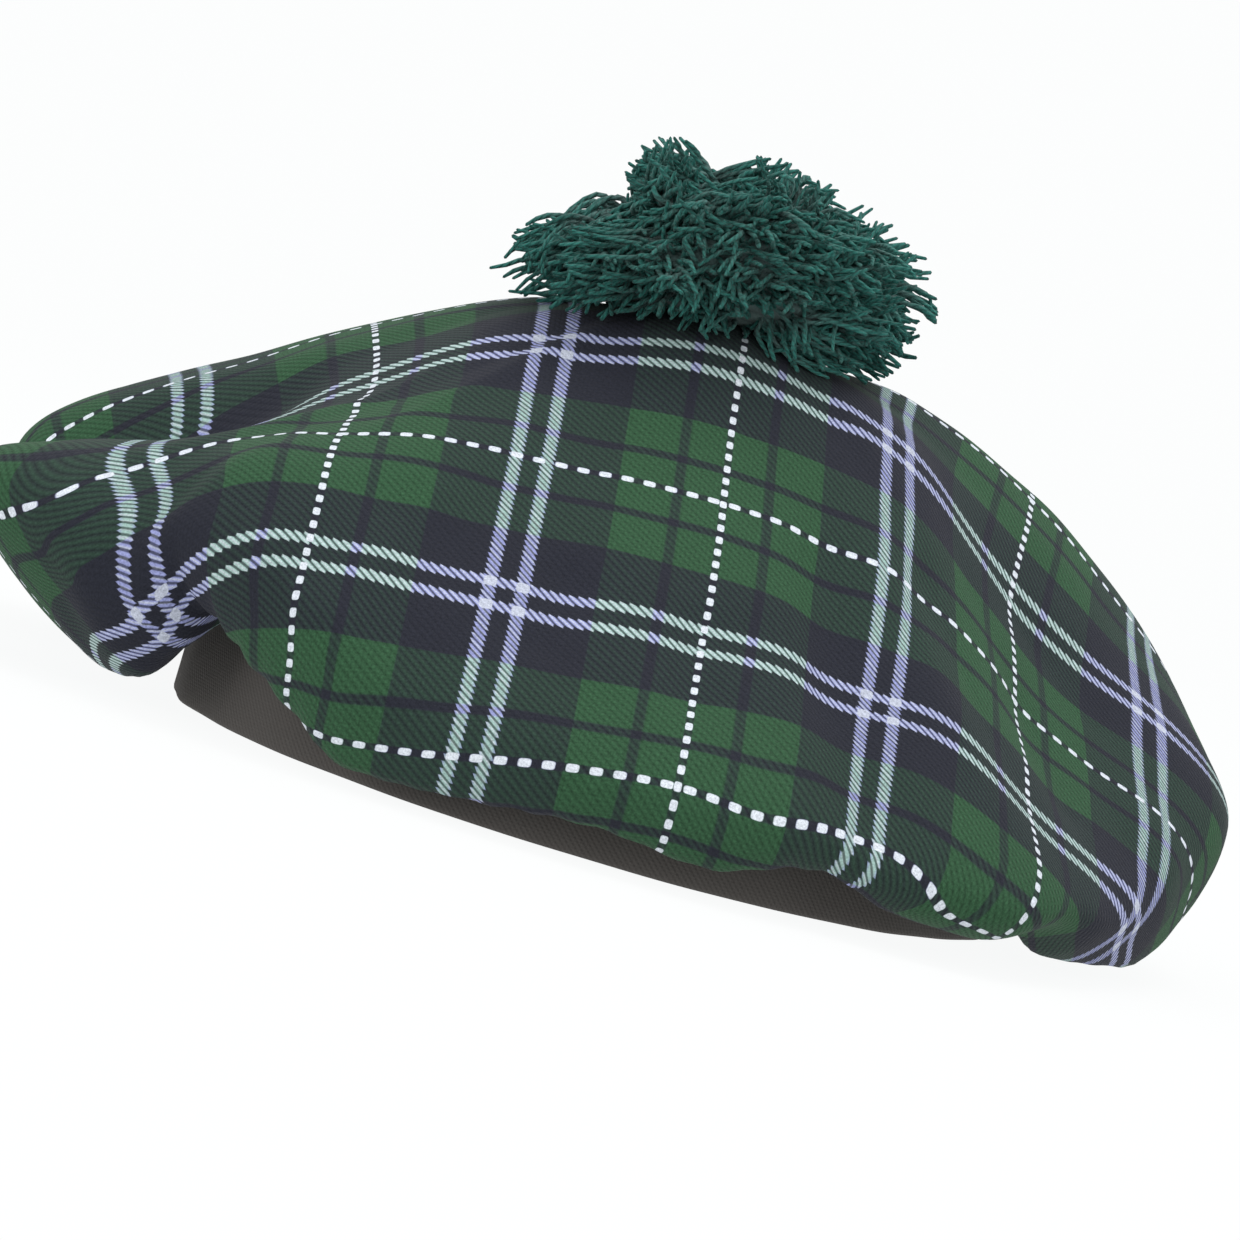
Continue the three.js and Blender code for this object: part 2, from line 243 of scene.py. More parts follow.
def smooth(value):
    """Eases a value from 0 to 1."""
    t = np.clip(value, 0.0, 1.0)
    return t * t * (3.0 - 2.0 * t)


def turn_between(first, second):
    """The signed turn in degrees from the second azimuth to the first."""
    return (first - second + 180.0) % 360.0 - 180.0


def round_the_hat(azimuths, values, query):
    """A smooth closed curve through values at azimuths that never overshoots."""
    a = np.concatenate([azimuths[-2:] - 360.0, azimuths, azimuths[:2] + 360.0])
    v = np.concatenate([values[-2:], values, values[:2]])
    rise = np.diff(v) / np.diff(a)
    slope = np.zeros(len(a))
    for k in range(1, len(a) - 1):
        if rise[k - 1] * rise[k] > 0:
            before = a[k] - a[k - 1]
            after = a[k + 1] - a[k]
            first = 2 * after + before
            second = after + 2 * before
            slope[k] = (first + second) / (first / rise[k - 1] + second / rise[k])
    q = np.mod(query, 360.0)
    k = np.searchsorted(a, q, side="right") - 1
    step = a[k + 1] - a[k]
    t = (q - a[k]) / step
    return (
        (1 + 2 * t) * (1 - t) ** 2 * v[k]
        + t * (1 - t) ** 2 * step * slope[k]
        + t * t * (3 - 2 * t) * v[k + 1]
        + t * t * (t - 1) * step * slope[k + 1]
    )


def bell(away, spread):
    """1 at no distance, falling off on both sides."""
    return np.exp(-0.5 * (away / spread) ** 2)


def running_length(points):
    """Distance along each row of points from its first point."""
    step = np.linalg.norm(np.diff(points, axis=1), axis=2)
    return np.concatenate([np.zeros((len(points), 1)), np.cumsum(step, 1)], 1)


def band_radius(angle):
    """Distance from the hat's middle to the middle of the headband's wall."""
    a = BAND_HALF_WIDTH - BAND_WALL / 2
    b = BAND_HALF_DEPTH - BAND_WALL / 2
    return a * b / np.hypot(b * np.cos(angle), a * np.sin(angle))


def mesh_object(name, points, faces, material, attributes):
    """A smooth mesh object in metres from points in millimetres round the rim."""
    mesh = bpy.data.meshes.new(name)
    places = np.asarray(points) * MM + np.array(RIM_MIDDLE)
    mesh.from_pydata(places.tolist(), [], faces)
    for key, values in attributes.items():
        layer = mesh.attributes.new(key, "FLOAT_VECTOR", "POINT")
        layer.data.foreach_set("vector", np.asarray(values, np.float32).ravel())
    work = bmesh.new()
    work.from_mesh(mesh)
    bmesh.ops.recalc_face_normals(work, faces=work.faces)
    work.to_mesh(mesh)
    work.free()
    mesh.polygons.foreach_set("use_smooth", [True] * len(mesh.polygons))
    mesh.materials.append(material)
    mesh.update()
    piece = bpy.data.objects.new(name, mesh)
    bpy.context.scene.collection.objects.link(piece)
    return piece


# The crown's cloth

def crown_profile(azimuth, count):
    """Distance and height of the cloth, evenly spaced from its middle to the seam."""
    rows = np.array([[row[0]] + [v for pair in row[1:] for v in pair] for row in SECTIONS], float)
    read = [round_the_hat(rows[:, 0], rows[:, k], azimuth) for k in range(1, rows.shape[1])]
    rim = band_radius(np.radians(azimuth)) - BAND_WALL / 2
    knots = [(0.0, CROWN_TOP), (CROWN_FLAT_RADIUS, CROWN_TOP - CROWN_FLAT_DROP)]
    knots += zip(read[::2], read[1::2])
    knots += [(rim + SEAM_REACH, SEAM_HEIGHT), (rim, SEAM_HEIGHT)]
    knots = np.stack([np.stack(np.broadcast_arrays(*pair, azimuth)[:2], -1) for pair in knots], 1)
    first = knots[:, 1:2] * np.array([-1.0, 1.0])
    last = 2 * knots[:, -1:] - knots[:, -2:-1]
    knots = np.concatenate([first, knots, last], 1)
    curve = []
    parts = 24
    spans = knots.shape[1] - 3
    for span in range(spans):
        p = [knots[:, span + k] for k in range(4)]
        t = [np.zeros(len(azimuth))]
        for k in range(3):
            t.append(t[-1] + np.sqrt(np.linalg.norm(p[k + 1] - p[k], axis=1)))
        for part in range(parts + (span == spans - 1)):
            now = t[1] + (t[2] - t[1]) * part / parts

            def blend(a, b, start, end):
                share = ((now - start) / (end - start))[:, None]
                return a * (1 - share) + b * share

            a = [blend(p[k], p[k + 1], t[k], t[k + 1]) for k in range(3)]
            b = [blend(a[k], a[k + 1], t[k], t[k + 2]) for k in range(2)]
            curve.append(blend(b[0], b[1], t[1], t[2]))
    curve = np.stack(curve, 1)
    along = running_length(curve)
    radius = np.empty((len(azimuth), count))
    height = np.empty((len(azimuth), count))
    for k in range(len(azimuth)):
        even = np.linspace(0, along[k, -1], count)
        radius[k] = np.interp(even, along[k], curve[k, :, 0])
        height[k] = np.interp(even, along[k], curve[k, :, 1])
    return radius, height


def press_folds(azimuth, radius, height):
    """Presses the valleys of the fold table into the cloth."""
    along = running_length(np.stack([radius, height], -1))
    out = np.gradient(radius, axis=1)
    up = np.gradient(height, axis=1)
    size = np.hypot(out, up) + 1e-9
    depth = np.zeros_like(radius)
    for inner, outer, starts, full, deep, wide in FOLDS:
        share = smooth((along - starts) / (full - starts))
        share *= np.clip((FOLD_FADE_END - along) / FOLD_FADE_LENGTH, 0, 1)
        line = inner + (outer - inner) * np.clip(along / FOLD_TURN_LENGTH, 0, 1)
        away = np.radians(turn_between(azimuth[:, None], line)) * radius
        depth += deep * share * bell(away, wide)
    return radius + up / size * depth, height - out / size * depth


def grid_normals(points):
    """Outward normals of a grid that is closed round its first axis."""
    along = np.gradient(points, axis=1)
    around = (np.roll(points, -1, 0) - np.roll(points, 1, 0)) / 2
    normal = np.cross(around, along)
    normal[:, 0] = normal[:, 1].mean(0)
    size = np.linalg.norm(normal, axis=2, keepdims=True)
    normal /= np.maximum(size, 1e-9)
    if normal[0, 1, 2] < 0:
        normal = -normal
    return normal


def flat_cloth(azimuth, points):
    """Where each point of the crown lies in the flat circle that it was cut from."""
    along = running_length(points)
    rings = np.linspace(0, along[:, -1].min(), 180)
    ring = np.empty((len(azimuth), len(rings), 3))
    for k in range(len(azimuth)):
        for axis in range(3):
            ring[k, :, axis] = np.interp(rings, along[k], points[k, :, axis])
    shown = np.linalg.norm(np.roll(ring, -1, 0) - ring, axis=2)
    spare = np.maximum(2 * np.pi * rings - shown.sum(0), 0)
    share = np.zeros(len(azimuth))
    for middle, spread, weight in GATHERS:
        share += weight * bell(turn_between(azimuth, middle), spread)
    share /= share.sum()
    turn = (shown + spare[None, :] * share[:, None]) / np.maximum(rings, 1e-6)[None, :]
    turn[:, 0] = turn[:, 1]
    turn *= (2 * np.pi / turn.sum(0))[None, :]
    angle = np.concatenate([np.zeros((1, len(rings))), np.cumsum(turn, 0)[:-1]], 0)
    front = int(round(CLOTH_FRONT_AZIMUTH / 360 * len(azimuth))) % len(azimuth)
    angle += np.radians(CLOTH_FRONT_AZIMUTH - CLOTH_TURN) - angle[front][None, :]
    flat = np.empty(points.shape[:2] + (3,))
    for k in range(len(azimuth)):
        at = np.interp(along[k], rings, angle[k])
        flat[k, :, 0] = along[k] * np.cos(at)
        flat[k, :, 1] = along[k] * np.sin(at)
    flat[..., 2] = along
    return flat


def ripples(flat):
    """A soft uneven swell over the cloth, about 1 at its highest."""
    draw = np.random.default_rng(RIPPLE_SEED)
    swell = np.zeros(flat.shape[:2])
    for _ in range(RIPPLE_COUNT):
        length = draw.uniform(16, 60)
        angle = draw.uniform(0, 2 * np.pi)
        phase = draw.uniform(0, 2 * np.pi)
        wave = 2 * np.pi / length
        across = flat[..., 0] * np.cos(angle) + flat[..., 1] * np.sin(angle)
        swell += np.sin(wave * across + phase) * (length / 60) ** 0.8
    return swell / np.abs(swell).max()


def swell_height(azimuth, flat):
    """Height of the broad swells at each point of the cloth."""
    height = np.zeros(flat.shape[:2])
    for middle, distance, rise, spread in SWELLS:
        aside = np.radians(turn_between(azimuth[:, None], middle)) * distance * 0.85
        away = np.hypot(aside, flat[..., 2] - distance)
        height += rise * bell(away, spread)
    return height


def pull_weave(flat):
    """Pulls the weave along the cloth as the pull table says."""
    pulled = flat.copy()
    for middle, shift, spread in PULLS:
        away = np.hypot(flat[..., 0] - middle[0], flat[..., 1] - middle[1])
        share = bell(away, spread)
        pulled[..., 0] += shift[0] * share
        pulled[..., 1] += shift[1] * share
    return pulled


def crease_depth(flat):
    """Depth of the small creases at each point of the cloth."""
    depth = np.zeros(flat.shape[:2])
    for start, end, deep, wide in CREASES:
        start = np.array(start, float)
        line = np.array(end, float) - start
        share = np.clip(((flat[..., :2] - start) @ line) / (line @ line), 0, 1)
        away = np.linalg.norm(flat[..., :2] - start - share[..., None] * line, axis=2)
        ease = smooth(share * 3) * smooth((1 - share) * 3 + 0.4)
        depth += deep * ease * bell(away, wide)
    return depth


def crown_cloth(columns, rings, ripple):
    """The middle of the cloth, its normals and its flat coordinates."""
    azimuth = np.arange(columns) * 360.0 / columns
    radius, height = crown_profile(azimuth, rings)
    radius, height = press_folds(azimuth, radius, height)
    angle = np.radians(azimuth)[:, None]
    points = np.stack([radius * np.cos(angle), radius * np.sin(angle), height], -1)
    normals = grid_normals(points)
    flat = flat_cloth(azimuth, points)
    along = flat[..., 2]
    left = along[:, -1:] - along
    loose = smooth((along - 25) / 45) * smooth(left / 22)
    lift = ripple * ripples(flat) * loose - crease_depth(flat) * smooth(left / 22)
    lift += swell_height(azimuth, flat)
    pleat = np.sin(PLEAT_COUNT * angle + 1.1 * np.sin(7 * angle) + 0.8 * np.sin(11 * angle + 1))
    gathered = smooth((34 - left) / 22) * smooth(left / 7)
    lift = lift + PLEAT_HEIGHT * pleat * gathered
    points = points + normals * lift[..., None]
    return points, grid_normals(points), pull_weave(flat)


def cloth_shell(name, points, normals, flat, wall, material):
    """A closed shell of cloth. Its inner face has half the points each way."""
    places, cloth, faces, skins = [], [], [], []
    for skin, spread in (
        (points + normals * wall / 2, flat),
        ((points - normals * wall / 2)[::2, ::2], flat[::2, ::2]),
    ):
        start = len(places)
        columns, rings = skin.shape[:2]
        places += [skin[:, 0].mean(0), *skin[:, 1:].reshape(-1, 3)]
        cloth += [spread[0, 0], *spread[:, 1:].reshape(-1, 3)]
        number = start + 1 + np.arange(columns * (rings - 1)).reshape(columns, rings - 1)
        number = np.vstack([number, number[:1]]).tolist()
        for here, there in zip(number[:-1], number[1:]):
            faces.append((start, here[0], there[0]))
            faces += zip(here[:-1], here[1:], there[1:], there[:-1])
        skins.append([row[-1] for row in number])
    outer, inner = skins
    for c in range(columns):
        a, b, d = outer[2 * c:2 * c + 3]
        e, f = inner[c:c + 2]
        faces += [(a, b, e), (b, f, e), (b, d, f)]
    return mesh_object(name, places, faces, material, {"cloth": np.array(cloth)})


# The headband

def headband_mesh(name, columns, wall, material):
    """An oval band of doubled cloth with a soft folded edge at top and bottom."""
    half = wall / 2
    bend = [math.pi * k / 6 for k in range(7)]
    rise = [half + (BAND_HEIGHT - 2 * half) * k / 12 for k in range(1, 12)]
    ring = [(half * math.cos(b), half - half * math.sin(b)) for b in reversed(bend)]
    ring += [(half, z) for z in rise]
    ring += [(half * math.cos(b), BAND_HEIGHT - half + half * math.sin(b)) for b in bend]
    ring += [(-half, z) for z in reversed(rise)]
    ring = np.array(ring)
    angle = np.arange(columns) * 2 * np.pi / columns
    middle = band_radius(angle)
    free = smooth((BAND_HEIGHT - 3 - ring[:, 1]) / 12)
    wave = 0.35 * np.sin(5 * angle + 1) + 0.3 * np.sin(13 * angle) + 0.2 * np.sin(23 * angle + 2)
    out = middle[:, None] + ring[None, :, 0] + wave[:, None] * free[None, :]
    x = out * np.cos(angle)[:, None]
    y = out * np.sin(angle)[:, None]
    z = np.broadcast_to(ring[None, :, 1], x.shape)
    places = np.stack([x, y, z], -1).reshape(-1, 3)
    oval = np.stack([middle * np.cos(angle), middle * np.sin(angle)], -1)
    round_it = running_length(oval[None])[0]
    down = running_length(ring[None])[0]
    count = len(ring)
    cloth = np.stack([
        np.repeat(round_it, count), np.tile(down, columns), np.zeros(count * columns)], -1)
    faces = []
    for c in range(columns):
        n = (c + 1) % columns
        for r in range(count):
            m = (r + 1) % count
            faces.append((c * count + r, n * count + r, n * count + m, c * count + m))
    return mesh_object(name, places, faces, material, {"cloth": cloth})


# The pompom

def reach_share(direction):
    """How far the yarn reaches in a direction, as a share of the plain oval."""
    share = np.ones(len(direction))
    turn = np.degrees(np.arctan2(direction[:, 2], direction[:, 0]))
    for toward, more, spread in POMPOM_LUMPS:
        share += more * bell(turn_between(turn, toward), spread)
    return 1 + (share - 1) * (1 - direction[:, 1] ** 4)


def top_height(x, y):
    """Height of the crown's outer face under each point of the pompom."""
    azimuth = np.degrees(np.arctan2(y, x)) % 360
    steps = np.arange(0, 360, 3.0)
    radius, height = crown_profile(steps, 90)
    far = np.hypot(x, y)
    column = np.round(azimuth / 3).astype(int) % len(steps)
    found = np.empty(len(far))
    for k in range(len(far)):
        r = radius[column[k]]
        end = int(np.argmax(r))
        found[k] = np.interp(far[k], r[:end], height[column[k]][:end])
    return found + CROWN_WALL / 2


def yarn_paths(tufts, strands, draw, start_share, reach):
    """The middle lines of all strands: (strand, point, xyz)."""
    golden = math.pi * (3 - math.sqrt(5))
    index = np.arange(tufts)
    z = 1 - (index + 0.5) / tufts * 1.62
    flat = np.sqrt(1 - z * z)
    turn = index * golden
    tuft = np.stack([flat * np.cos(turn), flat * np.sin(turn), z], -1)
    tuft += draw.normal(0, 0.07, tuft.shape)
    tuft_length = draw.normal(0.98, 0.10, tufts)
    tuft_lean = draw.normal(0, 0.24, (tufts, 3))
    tuft_curl = draw.normal(0, 1.8, (tufts, 3))
    owner = np.repeat(index, strands)
    count = len(owner)
    way = tuft[owner] + draw.normal(0, 0.10, (count, 3))
    way /= np.linalg.norm(way, axis=1, keepdims=True)
    tip_way = tuft[owner] + (way - tuft[owner]) * 0.8 + tuft_lean[owner]
    tip_way += draw.normal(0, 0.07, (count, 3))
    tip_way /= np.linalg.norm(tip_way, axis=1, keepdims=True)
    length = tuft_length[owner] * draw.normal(0.91, 0.10, count) * reach_share(tip_way)
    length = np.minimum(length, 1.06 * reach_share(tip_way)) * reach
    root = way * np.array(POMPOM_HEAD) * start_share * reach_share(way)[:, None]
    tip = tip_way * np.array(POMPOM_REACH) * length[:, None]
    curl = tuft_curl[owner] + draw.normal(0, 0.9, (count, 3))
    t = np.linspace(0, 1, YARN_POINTS)[None, :, None]
    path = root[:, None] * (1 - t) + tip[:, None] * t
    path = path + curl[:, None] * np.sin(np.pi * t)
    for waves, size in ((1.2, 0.3), (2.3, 0.15)):
        bend = draw.normal(0, size, (count, 1, 3))
        path = path + bend * np.sin(2 * np.pi * waves * t + draw.uniform(0, 6.28, (count, 1, 1)))
    path[..., 2] -= 1.2 * t[..., 0] ** 2 * np.clip(1.1 - way[:, 2], 0, 1.6)[:, None]
    return path + np.array(POMPOM_MIDDLE)


def yarn_mesh(name, tufts, strands, thickness, start_share, reach, seed, material):
    """Strands of two-ply yarn as one mesh of thin uneven tubes with closed ends."""
    draw = np.random.default_rng(seed)
    points, sides = YARN_POINTS, YARN_SIDES
    path = yarn_paths(tufts, strands, draw, start_share, reach)
    count = len(path)
    floor = top_height(path[..., 0].ravel(), path[..., 1].ravel()).reshape(count, points)
    path[..., 2] = np.maximum(path[..., 2], floor + thickness * 0.75)
    step = np.gradient(path, axis=1)
    step /= np.linalg.norm(step, axis=2, keepdims=True)
    side = np.cross(step, np.array([0.31, 0.17, 0.93]))
    side /= np.linalg.norm(side, axis=2, keepdims=True)
    other = np.cross(step, side)
    along = running_length(path)
    around = np.arange(sides) * 2 * np.pi / sides
    taper = 1 - 0.3 * smooth((np.arange(points) / (points - 1) - 0.86) / 0.14)
    size = thickness / 2 * draw.uniform(0.85, 1.15, count)[:, None] * taper[None, :]
    size = (size * draw.uniform(0.9, 1.1, (count, points)))[..., None, None]
    ring = path[:, :, None] + size * (
        np.cos(around)[:, None] * side[:, :, None] + np.sin(around)[:, None] * other[:, :, None])
    ends = path[:, -1] + step[:, -1] * thickness * 0.35
    roots = path[:, 0] - step[:, 0] * thickness * 0.2
    places = np.concatenate([ring.reshape(count, -1, 3), ends[:, None], roots[:, None]], 1)
    per = points * sides + 2
    faces = []
    for s in range(count):
        base = s * per
        for p in range(points - 1):
            for k in range(sides):
                n = (k + 1) % sides
                a, b = base + p * sides, base + (p + 1) * sides
                faces.append((a + k, a + n, b + n, b + k))
        last = base + (points - 1) * sides
        for k in range(sides):
            n = (k + 1) % sides
            faces.append((last + k, last + n, base + per - 2))
            faces.append((base + n, base + k, base + per - 1))
    depth = np.broadcast_to(np.repeat(np.linspace(0, 1, points), sides), (count, points * sides))
    depth = np.concatenate([depth, np.ones((count, 1)), np.zeros((count, 1))], 1)
    tone = np.repeat(draw.uniform(0, 1, count), per)
    strand = np.stack([depth.ravel(), tone, np.zeros(count * per)], -1)
    start_turn = draw.uniform(0, YARN_TWIST_LENGTH, (count, 1))
    ply = np.zeros((count, per, 3))
    ply[:, :-2, 0] = np.tile(np.cos(around), points)
    ply[:, :-2, 1] = np.tile(np.sin(around), points)
    ply[:, :-2, 2] = np.repeat(along + start_turn, sides, axis=1)
    ply[:, -2:, 0] = 1.0
    attributes = {"strand": strand, "ply": ply.reshape(-1, 3)}
    return mesh_object(name, places.reshape(-1, 3), faces, material, attributes)


def pompom_core(name, material):
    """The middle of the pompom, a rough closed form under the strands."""
    work = bmesh.new()
    bmesh.ops.create_icosphere(work, subdivisions=5, radius=1.0)
    way = np.array([v.co for v in work.verts])
    faces = [[v.index for v in f.verts] for f in work.faces]
    work.free()
    draw = np.random.default_rng(YARN_SEED + 5)
    rough = np.zeros(len(way))
    for _ in range(40):
        toward = draw.normal(0, 1, 3)
        rough += np.sin(way @ toward * 9 + draw.uniform(0, 6.28))
    rough = 1 + 0.05 * rough / np.abs(rough).max()
    places = way * np.array(POMPOM_HEAD) * 1.12 * (rough * reach_share(way))[:, None]
    places += np.array(POMPOM_MIDDLE)
    floor = top_height(places[:, 0], places[:, 1])
    places[:, 2] = np.maximum(places[:, 2], floor + 0.35)
    # The core takes nearly the inner yarn's colour, with its painted light.
    strand = np.tile([0.25, 0.5, 0.0], (len(places), 1))
    ply = np.stack([way[:, 0], way[:, 1], places[:, 2]], -1)
    return mesh_object(name, places, faces, material, {"strand": strand, "ply": ply})


# Node trees

class Wiring:
    """Short calls that place and join the nodes of one tree."""

    def __init__(self, tree):
        self.tree = tree

    def node(self, kind, **settings):
        made = self.tree.nodes.new(kind)
        for key, value in settings.items():
            setattr(made, key, value)
        return made

    def join(self, source, socket):
        """Links a socket or sets a constant. A colour is given without its alpha."""
        if isinstance(source, bpy.types.NodeSocket):
            self.tree.links.new(source, socket)
        elif isinstance(source, (int, float)):
            socket.default_value = source
        else:
            socket.default_value = tuple(source) + (1.0,) * (socket.type == "RGBA")

    def math(self, operation, *sources):
        made = self.node("ShaderNodeMath", operation=operation)
        for source, socket in zip(sources, made.inputs):
            self.join(source, socket)
        return made.outputs[0]

    def plus(self, first, second):
        return self.math("ADD", first, second)

    def minus(self, first, second):
        return self.math("SUBTRACT", first, second)

    def times(self, first, second):
        return self.math("MULTIPLY", first, second)

    def over(self, first, second):
        return self.math("DIVIDE", first, second)

    def most(self, first, second):
        return self.math("MAXIMUM", first, second)

    def size(self, value):
        return self.math("ABSOLUTE", value)

    def attribute(self, name):
        return self.node("ShaderNodeAttribute", attribute_name=name).outputs["Vector"]

    def split(self, vector):
        parts = self.node("ShaderNodeSeparateXYZ")
        self.join(vector, parts.inputs[0])
        return parts.outputs

    def fill(self, made, **sources):
        """Joins each source to the node's input of that name."""
        for key, source in sources.items():
            self.join(source, made.inputs[key.replace("_", " ")])
        return made.outputs

    def ramp(self, value, low, high):
        """0 below low and 1 above high, eased between them."""
        made = self.node("ShaderNodeMapRange", interpolation_type="SMOOTHSTEP", clamp=True)
        return self.fill(made, Value=value, From_Min=low, From_Max=high)["Result"]

    def between(self, value, low, high, soft):
        rise = self.ramp(value, low - soft, low + soft)
        fall = self.ramp(value, high - soft, high + soft)
        return self.minus(rise, fall)

    def mix(self, factor, first, second):
        made = self.node("ShaderNodeMix", data_type="RGBA")
        self.join(factor, made.inputs[0])
        self.join(first, made.inputs[6])
        self.join(second, made.inputs[7])
        return made.outputs[2]

    def noise(self, vector, scale, detail=2.0, rough=0.5):
        made = self.node("ShaderNodeTexNoise")
        return self.fill(made, Vector=vector, Scale=scale, Detail=detail, Roughness=rough)["Fac"]

    def group(self, tree, **sources):
        return self.fill(self.node("ShaderNodeGroup", node_tree=tree), **sources)


def new_group(name, inputs, outputs):
    """An empty shader group, its wiring and its input node's outputs."""
    tree = bpy.data.node_groups.new(name, "ShaderNodeTree")
    for key, kind, value in inputs:
        socket = tree.interface.new_socket(key, in_out="INPUT", socket_type=kind)
        if value is not None:
            socket.default_value = value
    for key, kind in outputs:
        tree.interface.new_socket(key, in_out="OUTPUT", socket_type=kind)
    wires = Wiring(tree)
    start = wires.node("NodeGroupInput")
    end = wires.node("NodeGroupOutput")
    return tree, wires, start.outputs, end.inputs


FLOAT = "NodeSocketFloat"
VECTOR = "NodeSocketVector"


def twill_group():
    """Slanting lines of twill: how near the middle of a line, and the threads' relief."""
    tree, w, given, made = new_group(
        "twill weave",
        [("Cloth", VECTOR, None), ("Across", FLOAT, CROWN_TWILL[0]), ("Down", FLOAT, CROWN_TWILL[1])],
        [("Line", FLOAT), ("Relief", FLOAT)],
    )
    parts = w.split(given["Cloth"])
    u = w.over(parts[0], given["Across"])
    v = w.over(parts[1], given["Down"])
    phase = w.math("FRACT", w.plus(u, v))
    away = w.times(w.size(w.minus(phase, 0.5)), 2.0)
    threads = [w.size(w.math("SINE", w.times(side, 2 * math.pi)))
               for side in (u, v)]
    thread = w.times(threads[0], threads[1])
    wale = w.minus(1.0, w.math("POWER", away, 2.0))
    relief = w.plus(w.times(thread, 0.35), w.times(wale, 0.65))
    w.join(w.minus(1.0, away), made["Line"])
    w.join(relief, made["Relief"])
    return tree


def sett_group():
    """One direction of the tartan: dark bands, white stripes, distance to the dashed line."""
    tree, w, given, made = new_group(
        "tartan sett",
        [("Place", FLOAT, 0.0), ("Half Sett", FLOAT, HALF_SETT)],
        [("Dark", FLOAT), ("Stripe", FLOAT), ("Away", FLOAT)],
    )
    away = w.math("PINGPONG", given["Place"], given["Half Sett"])
    thin = w.between(away, *THIN_DARK_BAND, 0.3)
    w.join(w.most(thin, w.ramp(away, *WIDE_DARK_BAND)), made["Dark"])
    w.join(w.between(away, *WHITE_STRIPE, 0.7), made["Stripe"])
    w.join(away, made["Away"])
    return tree


def dash_group():
    """Rounded white dashes along a line."""
    tree, w, given, made = new_group(
        "white dashes",
        [("Along", FLOAT, 0.0), ("Away", FLOAT, 0.0), ("Period", FLOAT, 3.3),
         ("Half Width", FLOAT, 0.7), ("Share", FLOAT, 0.6)],
        [("Dash", FLOAT)],
    )
    phase = w.math("FRACT", w.over(given["Along"], given["Period"]))
    along = w.times(w.size(w.minus(phase, 0.5)), 2.0)
    along = w.math("POWER", w.over(along, given["Share"]), 4.0)
    aside = w.math("POWER", w.over(given["Away"], given["Half Width"]), 4.0)
    w.join(w.minus(1.0, w.ramp(w.plus(along, aside), 0.55, 1.5)), made["Dash"])
    return tree


def fibre_group():
    """Uneven dye over the cloth and the fine fibres that stand up from it."""
    tree, w, given, made = new_group(
        "wool fibres",
        [("Place", VECTOR, None), ("Uneven", FLOAT, 0.12), ("Fine", FLOAT, 0.2)],
        [("Tone", FLOAT), ("Fuzz", FLOAT)],
    )
    wide = w.noise(given["Place"], 45.0, 3.0)
    fine = w.noise(given["Place"], 2600.0, 3.0, 0.7)
    swing = w.times(w.minus(wide, 0.5), given["Uneven"])
    grain = w.times(w.minus(fine, 0.5), given["Fine"])
    w.join(w.plus(1.0, w.plus(swing, grain)), made["Tone"])
    w.join(fine, made["Fuzz"])
    return tree


def scaled(w, color, factor):
    """A colour made lighter or darker by a factor that varies over the surface."""
    made = w.node("ShaderNodeVectorMath", operation="SCALE")
    return w.fill(made, Vector=color, Scale=factor)[0]


def new_material(name, roughness, sheen, specular):
    """A material with its wiring and its Principled BSDF's inputs."""
    material = bpy.data.materials.new(name)
    material.use_nodes = True
    wires = Wiring(material.node_tree)
    shader = material.node_tree.nodes["Principled BSDF"]
    wires.fill(shader, Roughness=roughness, Sheen_Weight=sheen, Sheen_Roughness=0.5,
               Specular_IOR_Level=specular)
    return material, wires, shader.inputs


def bumped(w, shader, height, distance, strength=1.0):
    """Joins a height to the shader's normal through a bump."""
    made = w.fill(w.node("ShaderNodeBump"), Distance=distance, Strength=strength, Height=height)
    w.join(made[0], shader["Normal"])


